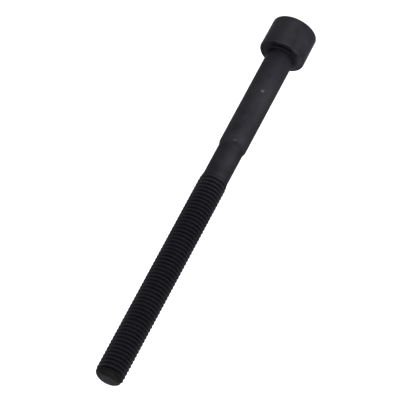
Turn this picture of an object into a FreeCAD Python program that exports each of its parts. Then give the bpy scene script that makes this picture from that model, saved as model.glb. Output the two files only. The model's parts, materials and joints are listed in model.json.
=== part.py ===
import FreeCAD, Part
import math
import os

import Sketcher

# Cylinder head bolt, M10 x 1.5, standing on its head: the flat top of the head lies at
# z = 0 and the bolt's axis is +Z, towards the thread's point. Millimetres.

# name of the size, value, what it measures
SIZES = (
    ("head_diameter", 16.85, "head, at its widest beside the bearing face"),
    ("head_top_diameter", 16.6, "head, at its top, smaller by the draft of the die"),
    ("head_height", 11.9, "head, from its top to the bearing face"),
    ("head_top_round", 0.55, "round on the edge of the head's top"),
    ("head_rim_round", 0.7, "round on the edge of the bearing face"),
    ("neck_fillet", 0.8, "fillet between the bearing face and the shank"),
    ("guide_diameter", 10.0, "plain shank under the head"),
    ("guide_length", 41.9, "plain shank, from the bearing face to the step"),
    ("step_length", 1.45, "cone from the plain shank down to the waist"),
    ("step_round", 0.3, "round on both edges of the step"),
    ("waist_diameter", 9.15, "waist, at the diameter of the blank that is rolled"),
    ("waist_length", 12.7, "waist, from the step to the first trace of thread"),
    ("thread_diameter", 10.0, "thread, over its crests"),
    ("thread_length", 86.2, "thread, from its first trace to the end face"),
    ("runout_length", 2.9, "run-out, where the crests rise to their full height"),
    ("point_diameter", 8.8, "point, where its cone would meet the end face"),
    ("point_length", 2.2, "cone of the point"),
    ("point_round", 2.0, "round between the cone and the flat end face"),
    ("drive_width", 10.0, "twelve-point socket, across opposite points"),
    ("drive_depth", 6.6, "twelve-point socket, depth of its flanks"),
    ("drive_point_round", 0.35, "round inside each point of the socket"),
    ("pilot_diameter", 7.9, "round hole that the socket is punched into"),
    ("pilot_depth", 7.4, "round hole, depth of its wall"),
    ("pilot_cone_height", 1.9, "height of the cone at the bottom of the hole"),
    ("mouth_diameter", 10.8, "countersink at the mouth of the socket"),
    ("mouth_depth", 1.2, "depth of the countersink, where it meets the round hole"),
)
SHEET = "Sizes"
X_AXIS, Y_AXIS = range(-1, -3, -1)  # a sketch's own axes, as constraints name them
ORIGIN = X_AXIS  # its start point is the sketch's origin
START, END, CENTRE = range(1, 4)  # the points of a line or an arc, as constraints name them
SQUARE_CORNERS = 4
DRIVE_SQUARES = 3  # a twelve-point socket is three squares, each turned on by a third of a corner
CORNER_ANGLE = 360 / SQUARE_CORNERS
SQUARE_STEP = CORNER_ANGLE / DRIVE_SQUARES


def make_sheet(doc):
    """The driving dimensions, one row each: name, value and meaning."""
    sheet = doc.addObject("Spreadsheet::Sheet", SHEET)
    for row, (alias, value, meaning) in enumerate(SIZES, start=1):
        sheet.set(f"A{row}", alias)
        sheet.set(f"B{row}", str(value))
        sheet.setAlias(f"B{row}", alias)
        sheet.set(f"C{row}", meaning)
    doc.recompute()
    return sheet


def size(alias):
    """How an expression names a cell of the sheet."""
    return f"{SHEET}.{alias}"


def half(alias):
    return f"{size(alias)} / 2"


def origin_part(body, role):
    """The body's own plane or axis with this role."""
    return next(item for item in body.Origin.OriginFeatures if item.Role == role)


def new_sketch(body, name, plane_role):
    sketch = body.newObject("Sketcher::SketchObject", name)
    sketch.AttachmentSupport = [(origin_part(body, plane_role), "")]
    sketch.MapMode = "FlatFace"
    return sketch


def bind(sketch, kind, label, expression, *places):
    """Add a dimension and bind it to the sheet."""
    value = float(sketch.evalExpression(expression))
    index = sketch.addConstraint(Sketcher.Constraint(kind, *places, value))
    sketch.renameConstraint(index, label)
    sketch.setExpression(f"Constraints.{label}", expression)


def place(sketch, label, shape_index, point, across, along):
    """Hold a point of the sketch at distances from its origin; None puts it on the axis."""
    here = (shape_index, point)
    for kind, axis, expression in (("DistanceX", Y_AXIS, across), ("DistanceY", X_AXIS, along)):
        if expression is None:
            sketch.addConstraint(Sketcher.Constraint("PointOnObject", *here, axis))
        else:
            bind(sketch, kind, f"{label}_{kind}", expression, ORIGIN, START, *here)


def draw_outline(sketch, corners):
    """A closed outline of straight lines through corners given as (name, across, along)."""
    def value(expression):
        return 0.0 if expression is None else float(sketch.evalExpression(expression))

    points = [FreeCAD.Vector(value(across), value(along), 0) for _, across, along in corners]
    for start, end in zip(points, points[1:] + points[:1]):
        sketch.addGeometry(Part.LineSegment(start, end), False)
    for line, (name, across, along) in enumerate(corners):
        following = (line + 1) % len(corners)
        sketch.addConstraint(Sketcher.Constraint("Coincident", line, END, following, START))
        place(sketch, name, line, START, across, along)


def turn_blank(body):
    """The forged and rolled blank: one half section, turned about the bolt's axis."""
    bearing = size("head_height")
    guide_end = f"{bearing} + {size('guide_length')}"
    waist_start = f"{guide_end} + {size('step_length')}"
    thread_start = f"{waist_start} + {size('waist_length')}"
    crests_full = f"{thread_start} + {size('runout_length')}"
    end_face = f"{thread_start} + {size('thread_length')}"
    point_start = f"{end_face} - {size('point_length')}"

    sketch = new_sketch(body, "blank_profile", "XZ_Plane")
    draw_outline(sketch, (
        ("top_centre", None, None),
        ("top_rim", half("head_top_diameter"), None),
        ("bearing_rim", half("head_diameter"), bearing),
        ("neck", half("guide_diameter"), bearing),
        ("guide_end", half("guide_diameter"), guide_end),
        ("waist_start", half("waist_diameter"), waist_start),
        ("thread_start", half("waist_diameter"), thread_start),
        ("crests_full", half("thread_diameter"), crests_full),
        ("point_start", half("thread_diameter"), point_start),
        ("end_rim", half("point_diameter"), end_face),
        ("end_centre", None, end_face),
    ))
    blank = body.newObject("PartDesign::Revolution", "blank")
    blank.Profile = sketch
    blank.ReferenceAxis = (sketch, ["V_Axis"])
    blank.Angle = 360
    body.Document.recompute()
    return blank


def circles(shape, diameter, height):
    """Names of the round edges of this diameter at this height."""
    near = 1e-4
    names = []
    for number, edge in enumerate(shape.Edges, start=1):
        curve = edge.Curve
        if (isinstance(curve, Part.Circle) and abs(2 * curve.Radius - diameter) < near
                and abs(curve.Center.z - height) < near):
            names.append(f"Edge{number}")
    return names


def round_edges(body, name, radius_alias, base, rims):
    """Round each circle that is given as (diameter, height)."""
    names = [edge for diameter, height in rims for edge in circles(base.Shape, diameter, height)]
    if len(names) != len(rims):
        raise RuntimeError(f"{name}: found {len(names)} of {len(rims)} edges")
    fillet = body.newObject("PartDesign::Fillet", name)
    fillet.Base = (base, names)
    fillet.setExpression("Radius", size(radius_alias))
    body.Document.recompute()
    return fillet


def round_blank(body, blank, sheet):
    """Soften the edges that forging and turning leave soft."""
    bearing = sheet.head_height
    guide_end = bearing + sheet.guide_length
    waist_start = guide_end + sheet.step_length
    end_face = waist_start + sheet.waist_length + sheet.thread_length
    rounds = (
        ("top_edge", "head_top_round", ((sheet.head_top_diameter, 0),)),
        ("bearing_edge", "head_rim_round", ((sheet.head_diameter, bearing),)),
        ("neck", "neck_fillet", ((sheet.guide_diameter, bearing),)),
        ("step_edges", "step_round",
         ((sheet.guide_diameter, guide_end), (sheet.waist_diameter, waist_start))),
        ("end_edge", "point_round", ((sheet.point_diameter, end_face),)),
    )
    feature = blank
    for name, radius_alias, rims in rounds:
        feature = round_edges(body, name, radius_alias, feature, rims)
    return feature


def sink_pilot(body):
    """The round hole in the head's top, with its countersunk mouth and cone bottom."""
    sketch = new_sketch(body, "pilot_profile", "XZ_Plane")
    cone_tip = f"{size('pilot_depth')} + {size('pilot_cone_height')}"
    draw_outline(sketch, (
        ("mouth_centre", None, None),
        ("mouth_rim", half("mouth_diameter"), None),
        ("mouth_foot", half("pilot_diameter"), size("mouth_depth")),
        ("wall_foot", half("pilot_diameter"), size("pilot_depth")),
        ("cone_tip", None, cone_tip),
    ))
    pilot = body.newObject("PartDesign::Groove", "pilot")
    pilot.Profile = sketch
    pilot.ReferenceAxis = (sketch, ["V_Axis"])
    pilot.Angle = 360
    body.Document.recompute()
    return pilot


def draw_square(sketch, corner_distance, corner_round):
    """A square whose rounded corners point along the sketch's axes: four arcs, four sides."""
    distance = float(sketch.evalExpression(corner_distance))
    radius = float(sketch.evalExpression(corner_round))
    up = FreeCAD.Vector(0, 0, 1)
    arcs = []
    for corner in range(SQUARE_CORNERS):
        middle = math.radians(corner * CORNER_ANGLE)
        reach = math.radians(CORNER_ANGLE / 2)
        centre = FreeCAD.Vector(distance * math.cos(middle), distance * math.sin(middle), 0)
        arcs.append(Part.ArcOfCircle(Part.Circle(centre, up, radius), middle - reach, middle + reach))
        sketch.addGeometry(arcs[corner], False)
    for arc, following in zip(arcs, arcs[1:] + arcs[:1]):
        sketch.addGeometry(Part.LineSegment(arc.EndPoint, following.StartPoint), False)

    outward, inward = corner_distance, f"-({corner_distance})"
    centres = ((outward, None), (None, outward), (inward, None), (None, inward))
    for corner, (across, along) in enumerate(centres):
        side = SQUARE_CORNERS + corner
        following = (corner + 1) % SQUARE_CORNERS
        sketch.addConstraint(Sketcher.Constraint("Tangent", corner, END, side, START))
        sketch.addConstraint(Sketcher.Constraint("Tangent", side, END, following, START))
        bind(sketch, "Radius", f"round_{corner}", corner_round, corner)
        place(sketch, f"corner_{corner}", corner, CENTRE, across, along)


def punch_drive(body, pilot):
    """The twelve-point socket: a rounded square punched into the head and then turned on."""
    corner_round = size("drive_point_round")
    sketch = new_sketch(body, "drive_square", "XY_Plane")
    draw_square(sketch, f"{half('drive_width')} - {corner_round}", corner_round)

    square = body.newObject("PartDesign::Pocket", "drive_square_pocket")
    square.Profile = sketch
    square.Type = "Length"
    square.setExpression("Length", size("drive_depth"))
    square.Reversed = True
    body.Document.recompute()

    points = body.newObject("PartDesign::PolarPattern", "drive_points")
    points.Originals = [square]
    points.Axis = (sketch, ["N_Axis"])
    points.Angle = SQUARE_STEP * (DRIVE_SQUARES - 1)
    points.Occurrences = DRIVE_SQUARES
    body.Tip = points
    body.Document.recompute()
    if not points.Shape.Volume < square.Shape.Volume < pilot.Shape.Volume:
        raise RuntimeError("the squares of the socket cut nothing from the head")


def check_features(doc):
    """Stop if any feature failed to build."""
    for item in doc.Objects:
        failed = {"Invalid", "Error"} & set(item.State)
        if failed:
            raise RuntimeError(f"{item.Label}: {', '.join(sorted(failed))}")


def export_solid(body):
    """Write the body as one STEP file under its own name."""
    shape = body.Shape
    if shape.isNull() or not shape.isValid() or len(shape.Solids) != 1:
        raise RuntimeError(f"{body.Label}: not one valid solid")
    os.makedirs("parts", exist_ok=True)
    shape.exportStep(f"parts/{body.Label}.step")
    box = shape.BoundBox
    print(f"{body.Label}: {box.XLength:.2f} x {box.YLength:.2f} x {box.ZLength:.2f} mm,"
          f" {shape.Volume / 1000:.2f} cm3")


def main():
    doc = FreeCAD.newDocument("cylinder_head_bolt")
    sheet = make_sheet(doc)
    body = doc.addObject("PartDesign::Body", "head_bolt")
    body.Label = "head_bolt"
    blank = turn_blank(body)
    round_blank(body, blank, sheet)
    pilot = sink_pilot(body)
    punch_drive(body, pilot)
    check_features(doc)
    export_solid(body)


main()
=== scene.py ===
"""A waisted cylinder head bolt with a real helical thread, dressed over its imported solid."""

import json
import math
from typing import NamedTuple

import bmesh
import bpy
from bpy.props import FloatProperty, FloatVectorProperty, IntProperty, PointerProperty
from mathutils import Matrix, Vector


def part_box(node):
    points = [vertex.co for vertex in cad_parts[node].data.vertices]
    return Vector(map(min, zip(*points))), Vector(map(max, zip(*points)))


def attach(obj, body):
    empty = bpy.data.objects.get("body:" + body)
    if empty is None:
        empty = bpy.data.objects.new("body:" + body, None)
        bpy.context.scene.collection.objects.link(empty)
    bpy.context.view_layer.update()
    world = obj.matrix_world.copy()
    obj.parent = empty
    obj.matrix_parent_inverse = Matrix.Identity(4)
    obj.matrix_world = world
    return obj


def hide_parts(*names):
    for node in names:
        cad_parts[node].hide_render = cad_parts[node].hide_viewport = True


bl_info = {
    "name": "Cylinder Head Bolt",
    "version": (1, 0, 0),
    "blender": (4, 5, 0),
    "location": "View3D > Sidebar > Head Bolt",
    "description": "Forges, threads and blackens a cylinder head bolt, and sets its studio",
    "category": "Add Mesh",
}

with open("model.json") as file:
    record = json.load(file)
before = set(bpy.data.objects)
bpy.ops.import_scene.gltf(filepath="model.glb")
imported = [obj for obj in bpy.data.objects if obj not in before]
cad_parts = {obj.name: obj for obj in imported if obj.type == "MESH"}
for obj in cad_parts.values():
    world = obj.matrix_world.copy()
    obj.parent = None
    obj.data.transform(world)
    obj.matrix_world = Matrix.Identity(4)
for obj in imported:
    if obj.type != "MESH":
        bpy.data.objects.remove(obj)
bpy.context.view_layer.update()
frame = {"record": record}

NODE = "head_bolt"
BOLT = "blackened_bolt"
STEEL = "blackened steel"
MM = 0.001
TIP_FLAT = 0.15 * MM     # a cone's tip is a disc of this radius, so that it has no pole
MOUTH_EDGE = 0.12 * MM   # how far the edge of the socket's mouth is softened
WHITE = (1, 1, 1, 1)
MOUNTS = {mount["name"]: mount for mount in frame["record"]["mounts"]}
_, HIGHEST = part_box(NODE)


def mount_radius(name):
    """The radius of a pin, as the record gives it."""
    return MOUNTS[name]["dims"]["r_mm"] * MM


def length(name, description, default):
    """A size in the panel, in metres."""
    return FloatProperty(name=name, description=description, default=default,
                         unit="LENGTH", subtype="DISTANCE", precision=5)


def angle(name, description, default):
    """A turn in the panel, in radians."""
    return FloatProperty(name=name, description=description, default=default,
                         unit="ROTATION", subtype="ANGLE")


def power(name, description, default):
    """The strength of a lamp in the panel, in watts."""
    return FloatProperty(name=name, description=description, default=default, min=0,
                         unit="POWER")


def colour(name, description, default):
    """A colour in the panel."""
    return FloatVectorProperty(name=name, description=description, default=default, size=3,
                               min=0, max=1, subtype="COLOR")


class BoltSizes(bpy.types.PropertyGroup):
    """Sizes of the bolt, from the record where it has them"""
    head_radius: length("Head radius", "Head at its widest, beside the bearing face", HIGHEST[0])
    head_top_radius: length("Head top radius", "Head at its top, less the draft", 8.3 * MM)
    head_height: length("Head height", "From the top to the bearing face",
                        MOUNTS["bearing_face"]["pos_m"][2])
    head_top_round: length("Top edge round", "Round on the edge of the top", 0.55 * MM)
    head_rim_round: length("Bearing edge round", "Round on the bearing face's edge", 0.7 * MM)
    neck_fillet: length("Neck fillet", "Fillet between bearing face and shank", 0.8 * MM)
    guide_radius: length("Shank radius", "Plain shank under the head",
                         mount_radius("guide_shank"))
    guide_length: length("Shank length", "Bearing face to the step", 41.9 * MM)
    step_length: length("Step length", "Cone down to the waist", 1.45 * MM)
    step_round: length("Step edge width", "How far the step's edges are softened", 0.12 * MM)
    waist_radius: length("Waist radius", "Waist, as wide as the rolled blank", 4.575 * MM)
    waist_length: length("Waist length", "Step to the first trace of thread", 12.7 * MM)
    crest_radius: length("Crest radius", "Thread over its crests", mount_radius("thread"))
    pitch: length("Pitch", "Rise of the thread in one turn", 1.5 * MM)
    runout_length: length("Run-out", "Where the crests rise to full height", 2.9 * MM)
    point_radius: length("Point radius", "Where the point's cone would meet the end face",
                         4.4 * MM)
    point_length: length("Point length", "Cone of the point", 2.2 * MM)
    point_round: length("Point round", "Round between the cone and the end face", 2.4 * MM)
    bare_length: length("Bare length", "End of the point, where the thread fades out", 1.7 * MM)
    bare_radius: length("Bare radius", "Point, where no thread is left on it", 4.5 * MM)
    cup_depth: length("Cup depth", "How far rolling leaves the end face hollow", 0.6 * MM)
    nick_height: length("Nick height", "Nick in the shank, above the head's top", 31.2 * MM)
    nick_ball: length("Nick ball", "Radius of a ball that would leave the nick", 1.6 * MM)
    nick_depth: length("Nick depth", "How deep the nick is", 0.09 * MM)
    socket_radius: length("Socket radius", "Twelve-point socket, to its points", 5.0 * MM)
    socket_depth: length("Socket depth", "Depth of the socket's flanks", 6.6 * MM)
    socket_round: length("Socket point round", "Round inside each point", 0.35 * MM)
    pilot_radius: length("Pilot radius", "Round hole that the socket is punched into", 3.95 * MM)
    pilot_depth: length("Pilot depth", "Round hole, depth of its wall", 7.4 * MM)
    pilot_cone: length("Pilot cone", "Height of the cone at its bottom", 1.9 * MM)
    mouth_radius: length("Mouth radius", "Countersink at the socket's mouth", 5.4 * MM)
    mouth_depth: length("Mouth depth", "Depth of the countersink", 1.2 * MM)
    thread_turn: angle("Thread start", "Where the thread starts, round the axis", 2.58)
    facets: IntProperty(name="Facets", description="Faces round the head and shank", default=96)
    thread_steps: IntProperty(name="Thread steps", description="Faces in one turn of thread",
                              default=72)


class BoltFinish(bpy.types.PropertyGroup):
    """Colours and texture of the blackened steel"""
    steel: colour("Blackened steel", "Black oxide on the head, shank and waist",
                  (0.0195, 0.0187, 0.0232))
    # Deeper black, used both for oil between the threads and for painted shade.
    oil_and_shade: colour("Oiled steel", "Deeper black that holds the oil between the threads",
                  (0.0185, 0.0178, 0.0230))
    cut_face: colour("End face", "Greyer steel of the end face", (0.0215, 0.0213, 0.0222))
    # Lighter steel, used for wear and also for a painted highlight at the step's edge.
    wear_and_glint: colour("Worn steel", "Where handling has rubbed the oxide thin",
                 (0.085, 0.084, 0.088))
    patches: length("Patches", "Width of the cloudy patches in the oxide", 3.0 * MM)
    grain: length("Grain", "Width of the fine grain", 0.25 * MM)
    grain_depth: length("Grain depth", "Relief of the fine grain", 0.012 * MM)


class StudioSettings(bpy.types.PropertyGroup):
    """Camera, lamps and floor"""
    elevation: angle("Elevation", "How far the camera looks down", math.radians(29.0))
    roll: angle("Roll", "Turn of the camera about its own axis", math.radians(-151.64))
    distance: length("Distance", "Camera to the bolt's axis", 1.0064)
    aim_height: length("Aim height", "Where the camera looks, above the head's top", 78.27 * MM)
    aim_side: length("Aim to the side", "Where the camera looks, beside the axis", 1.17 * MM)
    focal_length: FloatProperty(name="Focal length", description="Millimetres on a 36 mm sensor",
                                default=265.9, unit="CAMERA")
    lamp_distance: length("Lamp distance", "Lamps to the middle of the bolt", 2.2)
    lamp_size: length("Lamp size", "Side of each square lamp", 1.4)
    back_power: power("Back lamp", "Power of the lamp behind the bolt", 18.0)
    front_power: power("Front lamp", "Power of the lamp in front of the bolt", 10.0)
    floor_size: length("Floor size", "Side of the square floor", 6.0)


def deselect_all():
    """Leave edit mode with nothing selected, ready for a new primitive."""
    if bpy.context.object and bpy.context.object.mode != "OBJECT":
        bpy.ops.object.mode_set(mode="OBJECT")
    bpy.ops.object.select_all(action="DESELECT")


def only(piece):
    """Make one object the only one selected, and the active one."""
    deselect_all()
    piece.select_set(True)
    bpy.context.view_layer.objects.active = piece


def apply_modifier(piece, kind, **settings):
    """Add a modifier, set it up and apply it."""
    only(piece)
    modifier = piece.modifiers.new(kind.lower(), kind)
    for name, value in settings.items():
        setattr(modifier, name, value)
    bpy.ops.object.modifier_apply(modifier=modifier.name)


def cut(piece, tool, operation):
    """Combine a piece with a tool, which is used up."""
    apply_modifier(piece, "BOOLEAN", object=tool, operation=operation, solver="MANIFOLD")
    bpy.data.objects.remove(tool, do_unlink=True)


def face_outwards(piece, weld=0.0):
    """Merge doubled points if asked, and turn every face outwards."""
    only(piece)
    bpy.ops.object.mode_set(mode="EDIT")
    bpy.ops.mesh.select_all(action="SELECT")
    if weld:
        bpy.ops.mesh.remove_doubles(threshold=weld)
    bpy.ops.mesh.normals_make_consistent(inside=False)
    bpy.ops.object.mode_set(mode="OBJECT")


def select_edges(piece, wanted):
    """Enter edit mode with only those edges selected that pass a test."""
    only(piece)
    bpy.ops.object.mode_set(mode="EDIT")
    bpy.ops.mesh.select_mode(type="EDGE")
    bpy.ops.mesh.select_all(action="DESELECT")
    mesh = bmesh.from_edit_mesh(piece.data)
    for edge in mesh.edges:
        edge.select = wanted(edge)
    mesh.select_flush_mode()
    bmesh.update_edit_mesh(piece.data)


def turn_on_axis(name, stations, facets):
    """A turned solid: a disc at the first (radius, height), drawn on through the others."""
    deselect_all()
    (radius, height), *others = stations
    bpy.ops.mesh.primitive_circle_add(vertices=facets, radius=radius, fill_type="NGON",
                                      location=(0, 0, height))
    piece = bpy.context.object
    piece.name = name
    bpy.ops.object.transform_apply(location=True, rotation=False, scale=False)
    bpy.ops.object.mode_set(mode="EDIT")
    for next_radius, next_height in others:
        rise = (0, 0, next_height - height)
        bpy.ops.mesh.extrude_region_move(TRANSFORM_OT_translate={"value": rise})
        spread = next_radius / radius
        bpy.ops.transform.resize(value=(spread, spread, 1))
        radius, height = next_radius, next_height
    face_outwards(piece)
    return piece


def round_rim(piece, radius, height, width, segments):
    """Bevel the ring of edges at this radius and height."""
    near = 0.01 * MM

    def on_rim(vertex):
        place = vertex.co
        return abs(place.xy.length - radius) < near and abs(place.z - height) < near

    select_edges(piece, lambda edge: all(on_rim(vertex) for vertex in edge.verts))
    bpy.ops.mesh.bevel(offset=width, segments=segments, profile=0.5, affect="EDGES")
    bpy.ops.object.mode_set(mode="OBJECT")


class Heights(NamedTuple):
    """Where the lengths of the bolt end, above the head's top."""
    guide_end: float
    waist_start: float
    thread_start: float
    end_face: float


def heights(sizes):
    """Add the lengths up along the axis."""
    guide_end = sizes.head_height + sizes.guide_length
    waist_start = guide_end + sizes.step_length
    thread_start = waist_start + sizes.waist_length
    return Heights(guide_end, waist_start, thread_start, HIGHEST[2])


def forge_blank(sizes):
    """Head with its pilot hole, shank, step and waist, with a core that the thread grows on."""
    at = heights(sizes)
    core_radius = sizes.crest_radius - 0.8 * sizes.pitch
    core_start = at.thread_start + sizes.pitch + sizes.runout_length
    core_end = at.end_face - 2 * sizes.point_length
    blank = turn_on_axis(BOLT, (
        (TIP_FLAT, sizes.pilot_depth + sizes.pilot_cone),
        (sizes.pilot_radius, sizes.pilot_depth),
        (sizes.pilot_radius, sizes.mouth_depth),
        (sizes.mouth_radius, 0),
        (sizes.head_top_radius, 0),
        (sizes.head_radius, sizes.head_height),
        (sizes.guide_radius, sizes.head_height),
        (sizes.guide_radius, at.guide_end),
        (sizes.waist_radius, at.waist_start),
        (sizes.waist_radius, at.thread_start + sizes.pitch),
        (core_radius, core_start),
        (core_radius, core_end),
    ), sizes.facets)
    coarse, fair, smooth = 2, 3, 6
    for radius, height, width, segments in (
        (sizes.mouth_radius, 0, MOUTH_EDGE, coarse),
        (sizes.head_top_radius, 0, sizes.head_top_round, smooth),
        (sizes.head_radius, sizes.head_height, sizes.head_rim_round, smooth),
        (sizes.guide_radius, sizes.head_height, sizes.neck_fillet, smooth),
        (sizes.guide_radius, at.guide_end, sizes.step_round, fair),
        (sizes.waist_radius, at.waist_start, sizes.step_round, fair),
    ):
        round_rim(blank, radius, height, width, segments)
    return blank


def square_punch(sizes):
    """One square of the socket's punch, its corners rounded."""
    corner_gap = sizes.socket_round * (math.sqrt(2) - 1)
    side = (sizes.socket_radius + corner_gap) * math.sqrt(2)
    overshoot = 1 * MM
    tall = sizes.socket_depth + overshoot

    def upright(edge):
        start, end = (vertex.co for vertex in edge.verts)
        return abs(end.z - start.z) > tall / 2

    deselect_all()
    bpy.ops.mesh.primitive_cube_add(size=1, location=(0, 0, sizes.socket_depth - tall / 2),
                                    rotation=(0, 0, math.radians(45)), scale=(side, side, tall))
    punch = bpy.context.object
    bpy.ops.object.transform_apply(location=True, rotation=True, scale=True)
    select_edges(punch, upright)
    bpy.ops.mesh.bevel(offset=sizes.socket_round, segments=5, profile=0.5, affect="EDGES")
    bpy.ops.object.mode_set(mode="OBJECT")
    return punch


def punch_socket(blank, sizes):
    """Cut the twelve-point socket: three squares, each turned on by 30 degrees."""
    squares = 3
    for number in range(squares):
        punch = square_punch(sizes)
        punch.data.transform(Matrix.Rotation(math.radians(90 / squares * number), 4, "Z"))
        cut(blank, punch, "DIFFERENCE")


def nick_shank(blank, sizes):
    """Dent the shank where something hard has struck it, on the side that faces the camera."""
    sunk = sizes.guide_radius + sizes.nick_ball - sizes.nick_depth
    deselect_all()
    bpy.ops.mesh.primitive_ico_sphere_add(subdivisions=4, radius=sizes.nick_ball,
                                          location=(0, -sunk, sizes.nick_height))
    ball = bpy.context.object
    bpy.ops.object.transform_apply(location=True, rotation=False, scale=False)
    cut(blank, ball, "DIFFERENCE")


def thread_section(sizes):
    """One pitch of the thread's section as (radius, height): crest, flank, round root, flank."""
    pitch = sizes.pitch
    flank_degrees = 30
    flank = math.radians(flank_degrees)
    crest_flat = pitch / 8
    sharp_depth = (pitch - crest_flat) / 2 / math.tan(flank)
    root_radius = 0.1443 * pitch
    sharp_root = sizes.crest_radius - sharp_depth
    arc_centre = sharp_root + root_radius / math.sin(flank)
    arc_steps = 5
    middle = (pitch + crest_flat) / 2
    section = [(sizes.crest_radius, 0.0), (sizes.crest_radius, crest_flat)]
    for step in range(arc_steps + 1):
        swing = (90 - flank_degrees) * (2 * step / arc_steps - 1)
        turn = math.radians(swing)
        section.append((arc_centre - root_radius * math.cos(turn),
                        middle + root_radius * math.sin(turn)))
    section.append((sizes.crest_radius, pitch))
    return section


def close_end(piece, at_top):
    """Draw the open helical edge at one end of the thread in to the axis."""
    levels = [vertex.co.z for vertex in piece.data.vertices]
    middle = (min(levels) + max(levels)) / 2
    select_edges(piece, lambda edge: edge.is_boundary
                 and (edge.verts[0].co.z > middle) == at_top)
    bpy.ops.mesh.extrude_region_move()
    bpy.ops.mesh.merge(type="CENTER")
    bpy.ops.object.mode_set(mode="OBJECT")


def helical_rod(sizes, start, end):
    """A rod with the full thread on it, from one height to another or a little past it."""
    section = thread_section(sizes)
    turns = math.ceil((end - start) / sizes.pitch)
    deselect_all()
    bpy.ops.mesh.primitive_plane_add(size=sizes.pitch)
    rod = bpy.context.object
    rod.name = "thread"
    bpy.ops.object.mode_set(mode="EDIT")
    bpy.ops.mesh.select_mode(type="VERT")
    bpy.ops.mesh.select_all(action="SELECT")
    bpy.ops.mesh.merge(type="CENTER")
    here = Vector((section[0][0], 0, start + section[0][1]))
    bpy.ops.transform.translate(value=here)
    for radius, height in section[1:]:
        there = Vector((radius, 0, start + height))
        bpy.ops.mesh.extrude_region_move(TRANSFORM_OT_translate={"value": there - here})
        here = there
    bpy.ops.object.mode_set(mode="OBJECT")
    apply_modifier(rod, "SCREW", axis="Z", angle=math.tau, screw_offset=sizes.pitch,
                   iterations=turns, steps=sizes.thread_steps,
                   render_steps=sizes.thread_steps)
    face_outwards(rod, weld=0.001 * MM)
    close_end(rod, at_top=True)
    close_end(rod, at_top=False)
    face_outwards(rod)
    rod.data.transform(Matrix.Rotation(sizes.thread_turn, 4, "Z"))
    return rod


def thread_envelope(sizes):
    """What the thread fills: its run-out, its crests, and the rounded point with its hollow."""
    at = heights(sizes)
    clear_of_crests = 0.3 * MM
    before_thread = 0.4 * MM
    slope = (sizes.crest_radius - sizes.waist_radius) / sizes.runout_length
    taper = (sizes.crest_radius - sizes.point_radius) / sizes.point_length
    round_reach = sizes.point_round * math.tan((math.pi / 2 - math.atan(taper)) / 2)
    # The hollow lowers the round's top, so the rim is raised to bring it back to the end face.
    round_top = 0.88 * round_reach
    rim_height = at.end_face + round_top * sizes.cup_depth / sizes.point_radius
    envelope = turn_on_axis("envelope", (
        (sizes.waist_radius - slope * before_thread, at.thread_start - before_thread),
        (sizes.crest_radius + clear_of_crests,
         at.thread_start + sizes.runout_length + clear_of_crests / slope),
        (sizes.crest_radius + clear_of_crests,
         at.end_face - sizes.point_length - clear_of_crests / taper),
        (sizes.point_radius, rim_height),
        (TIP_FLAT, rim_height - sizes.cup_depth),
    ), sizes.facets)
    round_rim(envelope, sizes.point_radius, rim_height, round_reach, segments=8)
    return envelope


def bare_core(sizes):
    """The bare end of the point, with a cone under it that the thread fades into."""
    at = heights(sizes)
    bare_start = at.end_face - sizes.bare_length
    cone_depth, cone_length = 0.6 * sizes.pitch, 1.2 * sizes.pitch
    return turn_on_axis("bare end", (
        (sizes.bare_radius - cone_depth, bare_start - cone_length),
        (sizes.bare_radius, bare_start),
        (sizes.bare_radius, at.end_face + sizes.pitch),
    ), sizes.facets)


def roll_thread(blank, sizes):
    """Cut the threaded rod to the run-out and the point, and join it to the blank."""
    at = heights(sizes)
    margin = 2 * sizes.pitch
    rod = helical_rod(sizes, at.thread_start - margin, at.end_face + margin)
    envelope = thread_envelope(sizes)
    cut(rod, bare_core(sizes), "UNION")
    cut(rod, envelope, "INTERSECT")
    cut(blank, rod, "UNION")


def add_node(tree, kind, **values):
    """A shader node with its settings and unlinked inputs filled in."""
    node = tree.nodes.new(kind)
    for name, value in values.items():
        if name in node.inputs:
            node.inputs[name].default_value = value
        else:
            setattr(node, name, value)
    return node


def feed(tree, value, socket):
    """Give a socket a plain number or colour, or the output of another node."""
    if isinstance(value, bpy.types.NodeSocket):
        tree.links.new(value, socket)
    else:
        socket.default_value = value


def calculate(tree, operation, *values):
    """The result of a Math node on numbers or outputs."""
    node = add_node(tree, "ShaderNodeMath", operation=operation)
    for value, socket in zip(values, node.inputs):
        feed(tree, value, socket)
    return node.outputs["Value"]


def multiply(tree, *factors):
    """The product of two or more numbers or outputs."""
    product, *others = factors
    for factor in others:
        product = calculate(tree, "MULTIPLY", product, factor)
    return product


def distance(tree, place, centre):
    """How far a place is from a fixed centre."""
    node = add_node(tree, "ShaderNodeVectorMath", operation="DISTANCE")
    for value, socket in zip((place, centre), node.inputs):
        feed(tree, value, socket)
    return node.outputs["Value"]


def fade(tree, value, start, end, low=0.0, high=1.0):
    """Go smoothly from low to high while the value goes from start to end."""
    node = add_node(tree, "ShaderNodeMapRange", interpolation_type="SMOOTHSTEP",
                    **{"From Min": start, "From Max": end, "To Min": low, "To Max": high})
    feed(tree, value, node.inputs["Value"])
    return node.outputs["Result"]


def between(tree, value, low, high, blur):
    """1 from low to high, gone a blur's width beyond them."""
    return multiply(tree, fade(tree, value, low - blur, low),
                    fade(tree, value, high + blur, high))


def lay_over(tree, share, under, over):
    """Cover one colour with another where the share is 1."""
    node = add_node(tree, "ShaderNodeMix", data_type="RGBA")
    sockets = {socket.identifier: socket for socket in node.inputs}
    for name, value in (("Factor_Float", share), ("A_Color", under), ("B_Color", over)):
        feed(tree, value, sockets[name])
    return next(socket for socket in node.outputs if socket.identifier == "Result_Color")


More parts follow.
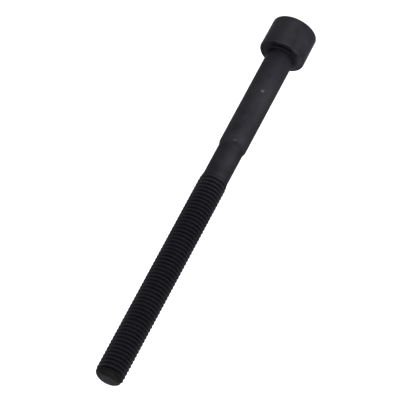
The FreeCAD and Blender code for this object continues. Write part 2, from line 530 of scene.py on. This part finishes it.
def clouds(tree, place, width, stretch=1.0, detail=2.0):
    """Noise from 0 to 1 in patches about this wide, drawn out along the bolt by the stretch."""
    scaled = add_node(tree, "ShaderNodeMapping", Scale=(1 / width, 1 / width,
                                                        1 / width / stretch))
    noise = add_node(tree, "ShaderNodeTexNoise", Scale=1.0, Detail=detail)
    feed(tree, place, scaled.inputs["Vector"])
    feed(tree, scaled.outputs["Vector"], noise.inputs["Vector"])
    return noise.outputs["Fac"]


def tinted(shade, brightness=1.0):
    """A colour of the finish as a socket takes it, made brighter or darker."""
    return (*(brightness * part for part in shade), 1.0)


def mark(tree, surface, shade, *areas, brightness=1.0, strength=1.0):
    """Lay a colour of the finish over the surface, where all the areas meet."""
    return lay_over(tree, multiply(tree, *areas, strength), surface, tinted(shade, brightness))


class Spot(NamedTuple):
    """Sockets that tell where on the bolt a point lies, and how thin its oxide is."""
    place: bpy.types.NodeSocket
    side: bpy.types.NodeSocket
    front: bpy.types.NodeSocket
    height: bpy.types.NodeSocket
    radius: bpy.types.NodeSocket
    patches: bpy.types.NodeSocket


def find_spot(tree, finish):
    """Split the Object coordinates, and lay out the cloudy patches of the oxide."""
    place = tree.nodes.new("ShaderNodeTexCoord").outputs["Object"]
    parts = tree.nodes.new("ShaderNodeSeparateXYZ")
    feed(tree, place, parts.inputs["Vector"])
    side, front, height = parts.outputs
    radius = calculate(tree, "SQRT", calculate(
        tree, "ADD", multiply(tree, side, side), multiply(tree, front, front)))
    patches = fade(tree, clouds(tree, place, finish.patches, stretch=1.5, detail=3.0),
                   start=0.3, end=0.7)
    return Spot(place, side, front, height, radius, patches)


def oxide_colour(tree, spot, sizes, finish):
    """Cloudy black oxide, thinner in broad patches, with painted shade on one side of the head."""
    bearing = sizes.head_height
    oxide = lay_over(tree, spot.patches, tinted(finish.steel, brightness=0.76),
                     tinted(finish.steel, brightness=1.26))
    broad = fade(tree, clouds(tree, spot.place, width=3.5 * finish.patches, stretch=1.5),
                 start=0.35, end=0.65)
    oxide = mark(tree, oxide, finish.wear_and_glint, broad, brightness=0.6, strength=0.25)
    # Painted shade: one side of the head is darkened, as if turned from the light.
    painted_shade_side = fade(tree, spot.side, start=1.5 * MM, end=5 * MM, high=0.4)
    on_head = fade(tree, spot.height, start=bearing + 0.1 * MM, end=bearing - 0.2 * MM)
    return mark(tree, oxide, finish.oil_and_shade, painted_shade_side, on_head, brightness=0.6)


def thread_colour(tree, spot, sizes, finish):
    """Roots darker with oil and painted shade, rubbed crests, and lighter on the first turns and
    towards the point.
    """
    at = heights(sizes)
    start, crests = at.thread_start, sizes.crest_radius
    # Partly oil, partly painted shade: the roots are darker and the outer flanks lighter, as light
    # falls in the grooves.
    root = fade(tree, spot.radius, start=crests - 0.55 * MM, end=crests - 0.8 * MM)
    thread = lay_over(tree, root, tinted(finish.oil_and_shade, brightness=1.15),
                      tinted(finish.oil_and_shade, brightness=0.85))
    crest = fade(tree, spot.radius, start=crests - 0.3 * MM, end=crests)
    rubbed = fade(tree, spot.patches, start=0.3, end=1.0, high=0.35)
    thread = mark(tree, thread, finish.steel, crest, rubbed, brightness=1.3)
    first_turns = multiply(
        tree, fade(tree, spot.height, start=start + 1.5 * MM, end=start + 3 * MM),
        fade(tree, spot.height, start=start + 15 * MM, end=start + 4 * MM))
    flanks = fade(tree, spot.radius, start=crests - 0.75 * MM, end=crests - 0.4 * MM)
    thread = mark(tree, thread, finish.steel, first_turns, flanks, brightness=1.9, strength=0.5)
    last_turns = fade(tree, spot.height, start=start + 20 * MM, end=at.end_face)
    return mark(tree, thread, finish.steel, last_turns, brightness=2.0, strength=0.13)


def mark_neck(tree, surface, spot, sizes, finish):
    """Painted shade in the fillet and on the shank above it; on the bearing face, one side darker,
    painted light on its front, and a lighter, uneven rim.
    """
    bearing, shank = sizes.head_height, sizes.guide_radius
    # Painted shade in the corner of the fillet.
    fillet = multiply(
        tree, fade(tree, spot.radius, start=shank + 1.4 * MM, end=shank + 0.9 * MM),
        between(tree, spot.height, bearing - 0.05 * MM, bearing + 0.45 * MM, blur=0.45 * MM))
    surface = mark(tree, surface, finish.oil_and_shade, fillet, brightness=0.5, strength=0.9)
    # Painted shade on the shank, fading away from the head.
    neck_shade = multiply(
        tree, fade(tree, spot.height, start=bearing + 0.8 * MM, end=bearing + 2.2 * MM),
        fade(tree, spot.height, start=bearing + 10 * MM, end=bearing + 0.5 * MM))
    surface = mark(tree, surface, finish.oil_and_shade, neck_shade, brightness=0.6, strength=0.58)

    face = between(tree, spot.height, bearing - 0.03 * MM, bearing + 0.1 * MM, blur=0.06 * MM)
    # Darker on one side of the bearing face.
    one_side_darker = fade(tree, spot.side, start=2.5 * MM, end=6 * MM, high=0.9)
    surface = mark(tree, surface, finish.oil_and_shade, face, one_side_darker, brightness=0.45)
    # Painted light: the bearing face is lightened in the middle of its front, where it mirrors the
    # dark shank.
    middle = between(tree, spot.side, -3 * MM, 3 * MM, blur=1.5 * MM)
    near_front = fade(tree, spot.front, start=-5.9 * MM, end=-6.4 * MM)
    surface = mark(tree, surface, finish.steel, face, middle, near_front, brightness=2.7)
    rim = between(tree, spot.height, bearing - 0.35 * MM, bearing - 0.1 * MM, blur=0.08 * MM)
    uneven = fade(tree, spot.patches, start=0.2, end=0.8, low=0.3, high=0.65)
    return mark(tree, surface, finish.steel, rim, uneven, brightness=2.2)


def mark_step(tree, surface, spot, sizes, finish):
    """Painted light on one side of the step's cone, a darker band on the waist past it, and a mark
    at the step's edge, rubbed steel with a painted highlight and painted shade beside it.
    """
    at = heights(sizes)
    # Painted light: one side of the step's cone is lightened.
    cone = between(tree, spot.height, at.guide_end + 0.15 * MM, at.guide_end + 0.9 * MM,
                   blur=0.3 * MM)
    painted_light_side = fade(tree, spot.side, start=0.2 * MM, end=-1.2 * MM)
    surface = mark(tree, surface, finish.steel, cone, painted_light_side, brightness=1.9, strength=0.45)
    # A darker band on the waist just past the step.
    waist = multiply(
        tree,
        fade(tree, spot.height, start=at.waist_start - 0.2 * MM, end=at.waist_start + 0.3 * MM),
        fade(tree, spot.height, start=at.waist_start + 5.5 * MM, end=at.waist_start + 1.5 * MM))
    surface = mark(tree, surface, finish.oil_and_shade, waist, brightness=0.5, strength=0.4)

    in_front = fade(tree, spot.front, start=1 * MM, end=-1 * MM)
    # Rubbed steel with a painted highlight: the lit side of a small mark at the step's edge, on
    # the front.
    struck = multiply(
        tree, between(tree, spot.height, at.guide_end - 0.05 * MM, at.guide_end + 0.25 * MM,
                      blur=0.3 * MM),
        between(tree, spot.side, 0.2 * MM, 0.7 * MM, blur=0.6 * MM))
    surface = mark(tree, surface, finish.wear_and_glint, struck, in_front, strength=0.6)
    shade = multiply(
        tree, between(tree, spot.height, at.guide_end + 0.65 * MM, at.guide_end + 0.95 * MM,
                      blur=0.2 * MM),
        between(tree, spot.side, -0.1 * MM, 0.35 * MM, blur=0.3 * MM))
    return mark(tree, surface, finish.oil_and_shade, shade, in_front, brightness=0.5, strength=0.4)


def mark_nick(tree, surface, spot, sizes, finish):
    """Bright steel in the nick."""
    centre = (0, -sizes.guide_radius, sizes.nick_height)
    bruise = fade(tree, distance(tree, spot.place, centre), start=0.75 * MM, end=0.35 * MM)
    return mark(tree, surface, finish.wear_and_glint, bruise, brightness=1.1, strength=0.9)


def end_colour(tree, spot, finish):
    """Mottled grey end face, with painted shade in its hollow on the near half."""
    noise = clouds(tree, spot.place, width=0.9 * MM, detail=3.0)
    swirls = fade(tree, noise, start=0.35, end=0.6)
    end = lay_over(tree, swirls, tinted(finish.cut_face, brightness=0.55),
                   tinted(finish.cut_face, brightness=0.95))
    # Painted shade: the near half of the hollow is darker, most towards the middle.
    shade_depth = fade(tree, spot.radius, start=4.4 * MM, end=3.2 * MM)
    hollow_shade = lay_over(tree, shade_depth, tinted(finish.cut_face, brightness=0.5),
                    tinted(finish.cut_face, brightness=0.2))
    wavy_edge = calculate(tree, "ADD", spot.front, multiply(tree, swirls, 0.9 * MM))
    near_half = fade(tree, wavy_edge, start=-0.7 * MM, end=-1.4 * MM)
    return lay_over(tree, near_half, end, hollow_shade)


def steel_colour(tree, spot, sizes, finish):
    """The whole bolt's colour: oxide, thread, marks of use with painted light and shade, and the
    bare end.
    """
    at = heights(sizes)
    oxide = oxide_colour(tree, spot, sizes, finish)
    thread = thread_colour(tree, spot, sizes, finish)
    threaded = fade(tree, spot.height, start=at.thread_start + 0.5 * MM,
                    end=at.thread_start + 3 * MM)
    surface = lay_over(tree, threaded, oxide, thread)
    for add_marks in (mark_neck, mark_step, mark_nick):
        surface = add_marks(tree, surface, spot, sizes, finish)
    bare = fade(tree, spot.height, start=at.end_face - sizes.point_length,
                end=at.end_face - sizes.bare_length)
    return lay_over(tree, bare, surface, end_colour(tree, spot, finish))


def steel_material(sizes, finish):
    """Black oxide, rubbed thin on the edges, darker between the threads with oil and painted
    shade, and with painted light and shade on the head, the step and the end face.
    """
    material = bpy.data.materials.new(STEEL)
    material.use_nodes = True
    tree = material.node_tree
    shader = tree.nodes["Principled BSDF"]
    spot = find_spot(tree, finish)
    grain = clouds(tree, spot.place, finish.grain)
    drawn = clouds(tree, spot.place, finish.grain, stretch=25.0)
    roughness = fade(tree, calculate(tree, "ADD", spot.patches, grain),
                     start=0.2, end=1.6, low=0.38, high=0.54)
    relief = add_node(tree, "ShaderNodeBump", Strength=0.5, Distance=finish.grain_depth)
    feed(tree, calculate(tree, "ADD", grain, drawn), relief.inputs["Height"])
    for name, value in {
        "Base Color": steel_colour(tree, spot, sizes, finish),
        "Roughness": roughness,
        "Normal": relief.outputs["Normal"],
        "Metallic": 0.9,
        "Specular Tint": (0.52, 0.52, 0.54, 1),
        "Specular IOR Level": 0.3,
    }.items():
        feed(tree, value, shader.inputs[name])
    return material


class HEAD_BOLT_OT_bolt(bpy.types.Operator):
    """Forge the blank, punch its socket, roll its thread and blacken it"""
    bl_idname = "head_bolt.bolt"
    bl_label = "Bolt"

    def execute(self, context):
        sizes = context.scene.bolt_sizes
        bolt = forge_blank(sizes)
        punch_socket(bolt, sizes)
        nick_shank(bolt, sizes)
        roll_thread(bolt, sizes)
        only(bolt)
        bpy.ops.object.shade_smooth_by_angle(angle=math.radians(32))
        apply_modifier(bolt, "WEIGHTED_NORMAL", keep_sharp=True, weight=50)
        bolt.data.materials.clear()
        bolt.data.materials.append(steel_material(sizes, context.scene.bolt_finish))
        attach(bolt, "root")
        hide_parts(NODE)
        return {"FINISHED"}


def reflected_ray(tree, path):
    """1 for the rays that metal and glass send out."""
    return calculate(tree, "MAXIMUM", path["Is Glossy Ray"], path["Is Transmission Ray"])


def build_world():
    """White for the camera and in reflections, and softer where it lights the bolt."""
    world = bpy.data.worlds.new("white studio")
    bpy.context.scene.world = world
    world.use_nodes = True
    tree = world.node_tree
    background = tree.nodes["Background"]
    background.inputs["Color"].default_value = WHITE
    path = tree.nodes.new("ShaderNodeLightPath").outputs
    seen = calculate(tree, "MAXIMUM", path["Is Camera Ray"], reflected_ray(tree, path))
    feed(tree, fade(tree, seen, start=0.0, end=1.0, low=0.55, high=1.0),
         background.inputs["Strength"])


def paper_material():
    """White paper that glows a little, with a pool of light that only reflections show."""
    material = bpy.data.materials.new("white paper")
    material.use_nodes = True
    tree = material.node_tree
    tree.nodes.remove(tree.nodes["Principled BSDF"])
    paper = add_node(tree, "ShaderNodeBsdfDiffuse", Color=(0.5, 0.5, 0.5, 1))
    glow = add_node(tree, "ShaderNodeEmission", Color=WHITE)
    path = tree.nodes.new("ShaderNodeLightPath").outputs
    place = tree.nodes.new("ShaderNodeTexCoord").outputs["Object"]
    pool_centre = (-0.044, -0.075, 0)
    pool = fade(tree, distance(tree, place, pool_centre), start=0.12, end=0.025,
                low=0.12, high=1.8)
    plain_glow = 0.3
    strength = calculate(tree, "ADD", multiply(tree, reflected_ray(tree, path), pool), plain_glow)
    feed(tree, calculate(tree, "MAXIMUM", strength, path["Is Camera Ray"]),
         glow.inputs["Strength"])
    both = tree.nodes.new("ShaderNodeAddShader")
    feed(tree, paper.outputs["BSDF"], both.inputs[0])
    feed(tree, glow.outputs["Emission"], both.inputs[1])
    feed(tree, both.outputs["Shader"], tree.nodes["Material Output"].inputs["Surface"])
    return material


def build_floor(studio):
    """A white floor under the bolt."""
    deselect_all()
    bpy.ops.mesh.primitive_plane_add(size=studio.floor_size)
    floor = bpy.context.object
    floor.name = "studio_floor"
    floor.data.materials.append(paper_material())


def camera_axes(studio):
    """The camera's right, up and backward directions."""
    forward = Vector((0, math.cos(studio.elevation), -math.sin(studio.elevation)))
    level_right = Vector((1, 0, 0))
    level_up = level_right.cross(forward)
    turn = Matrix.Rotation(studio.roll, 3, -forward)
    return turn @ level_right, turn @ level_up, -forward


def build_camera(studio):
    """A long lens that looks down at the bolt, rolled so that the bolt slants across the image."""
    right, up, back = camera_axes(studio)
    aim = Vector((studio.aim_side, 0, studio.aim_height))
    bpy.ops.object.camera_add(location=aim + back * studio.distance)
    camera = bpy.context.object
    camera.rotation_euler = Matrix((right, up, back)).transposed().to_euler()
    camera.data.lens = studio.focal_length
    camera.data.sensor_width = 36
    camera.data.clip_end = 20
    bpy.context.scene.camera = camera


def add_lamp(studio, name, energy, turn, rise):
    """A soft square lamp that faces the bolt, degrees round from the camera's side and up."""
    turn, rise = math.radians(turn), math.radians(rise)
    aim = Vector((0, 0, studio.aim_height))
    place = aim + studio.lamp_distance * Vector((
        -math.sin(turn) * math.cos(rise), -math.cos(turn) * math.cos(rise), math.sin(rise)))
    bpy.ops.object.light_add(type="AREA", location=place)
    lamp = bpy.context.object
    lamp.name = name
    lamp.rotation_euler = (place - aim).to_track_quat("Z", "Y").to_euler()
    lamp.data.size = studio.lamp_size
    lamp.data.energy = energy
    lamp.visible_camera = False


class HEAD_BOLT_OT_stage(bpy.types.Operator):
    """Lay the white floor, light it softly and place the camera"""
    bl_idname = "head_bolt.stage"
    bl_label = "Stage"

    def execute(self, context):
        studio = context.scene.bolt_studio
        build_world()
        build_floor(studio)
        add_lamp(studio, "back", studio.back_power, turn=158, rise=60)
        add_lamp(studio, "front", studio.front_power, turn=10, rise=55)
        build_camera(studio)
        context.scene.view_settings.view_transform = "Standard"
        return {"FINISHED"}


class HEAD_BOLT_PT_panel(bpy.types.Panel):
    """Sizes and steps of the head bolt"""
    bl_label = "Cylinder Head Bolt"
    bl_space_type = "VIEW_3D"
    bl_region_type = "UI"
    bl_category = "Head Bolt"

    def draw(self, context):
        layout = self.layout
        for group in (context.scene.bolt_sizes, context.scene.bolt_finish,
                      context.scene.bolt_studio):
            for name in group.bl_rna.properties.keys():
                if name not in ("name", "rna_type"):
                    layout.prop(group, name)
        layout.operator(HEAD_BOLT_OT_bolt.bl_idname)
        layout.operator(HEAD_BOLT_OT_stage.bl_idname)


CLASSES = (BoltSizes, BoltFinish, StudioSettings, HEAD_BOLT_OT_bolt, HEAD_BOLT_OT_stage,
           HEAD_BOLT_PT_panel)


def register():
    for item in CLASSES:
        bpy.utils.register_class(item)
    bpy.types.Scene.bolt_sizes = PointerProperty(type=BoltSizes)
    bpy.types.Scene.bolt_finish = PointerProperty(type=BoltFinish)
    bpy.types.Scene.bolt_studio = PointerProperty(type=StudioSettings)


def unregister():
    del bpy.types.Scene.bolt_sizes
    del bpy.types.Scene.bolt_finish
    del bpy.types.Scene.bolt_studio
    for item in reversed(CLASSES):
        bpy.utils.unregister_class(item)


def main():
    """Build the bolt and its stage."""
    register()
    bpy.ops.head_bolt.bolt()
    bpy.ops.head_bolt.stage()


if __name__ == "__main__":
    main()
